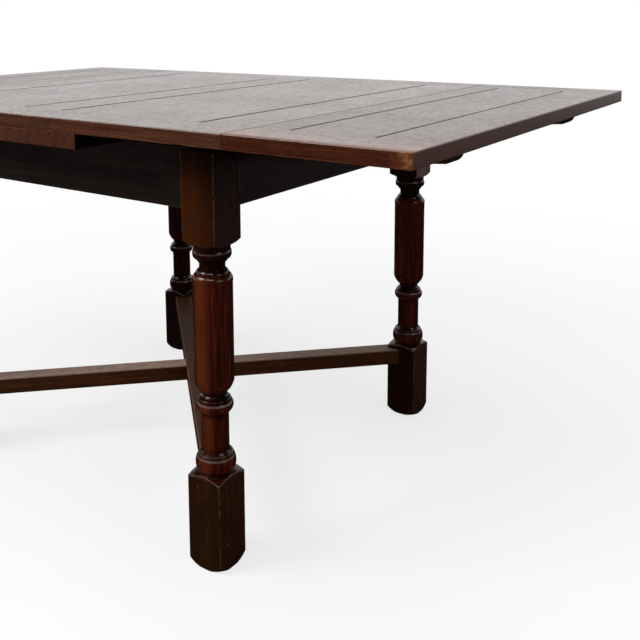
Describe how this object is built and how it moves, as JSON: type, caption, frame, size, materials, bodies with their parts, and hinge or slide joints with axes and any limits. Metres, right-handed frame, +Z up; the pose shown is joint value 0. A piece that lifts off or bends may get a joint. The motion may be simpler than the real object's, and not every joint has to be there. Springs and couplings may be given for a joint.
{
  "type": "draw-leaf table",
  "caption": "Oak draw-leaf dining table on turned legs with crossed floor stretchers, both leaves drawn out.",
  "frame": {"origin": "on the floor under the middle of the table", "axes": "+Z up, +X along the table's length towards the right-hand leaf, -Y towards the front edge"},
  "size_m": [1.498, 0.919, 0.74],
  "materials": {
    "oak_top": "satin",
    "oak_legs": "satin",
    "oak_frame": "matte",
    "steel_screw": "satin"
  },
  "bodies": {
    "frame": {"apron_back": "oak_frame", "apron_front": "oak_frame", "apron_left": "oak_frame", "apron_right": "oak_frame", "centre_board": "oak_top", "centre_board_screws": "steel_screw", "corner_brace_back_left": "oak_frame", "corner_brace_back_right": "oak_frame", "corner_brace_front_left": "oak_frame", "corner_brace_front_right": "oak_frame", "corner_brace_screws": "steel_screw", "cross_rail_left": "oak_frame", "cross_rail_right": "oak_frame", "leg_back_left": "oak_legs", "leg_back_right": "oak_legs", "leg_front_left": "oak_legs", "leg_front_right": "oak_legs", "stretcher_front_left_to_back_right": "oak_legs", "stretcher_front_right_to_back_left": "oak_legs", "stretcher_screw": "steel_screw"},
    "main_top": {"guide_peg_back": "oak_frame", "guide_peg_front": "oak_frame", "top_centre_rail": "oak_top", "top_end_rail_left": "oak_top", "top_end_rail_right": "oak_top", "top_panel_left": "oak_top", "top_panel_right": "oak_top", "top_stile_back": "oak_top", "top_stile_front": "oak_top"},
    "right_leaf": {"right_bearer_back": "oak_frame", "right_bearer_front": "oak_frame", "right_bearer_stops": "oak_frame", "right_leaf_inner_rail": "oak_top", "right_leaf_outer_rail": "oak_top", "right_leaf_panel": "oak_top", "right_leaf_screws": "steel_screw", "right_leaf_stile_back": "oak_top", "right_leaf_stile_front": "oak_top"},
    "left_leaf": {"left_bearer_back": "oak_frame", "left_bearer_front": "oak_frame", "left_bearer_stops": "oak_frame", "left_leaf_inner_rail": "oak_top", "left_leaf_outer_rail": "oak_top", "left_leaf_panel": "oak_top", "left_leaf_screws": "steel_screw", "left_leaf_stile_back": "oak_top", "left_leaf_stile_front": "oak_top"}
  },
  "joints": [
    {"name": "main_top_lift", "type": "slide", "parent": "frame", "child": "main_top", "axis": [0, 0, 1], "range_m": [0, 0.03]},
    {"name": "right_leaf_draw", "type": "slide", "parent": "frame", "child": "right_leaf", "axis": [0.9967, 0, 0.0809], "range_m": [0, 0.006]},
    {"name": "left_leaf_draw", "type": "slide", "parent": "frame", "child": "left_leaf", "axis": [-0.9967, 0, 0.0809], "range_m": [0, 0.006]}
  ]
}
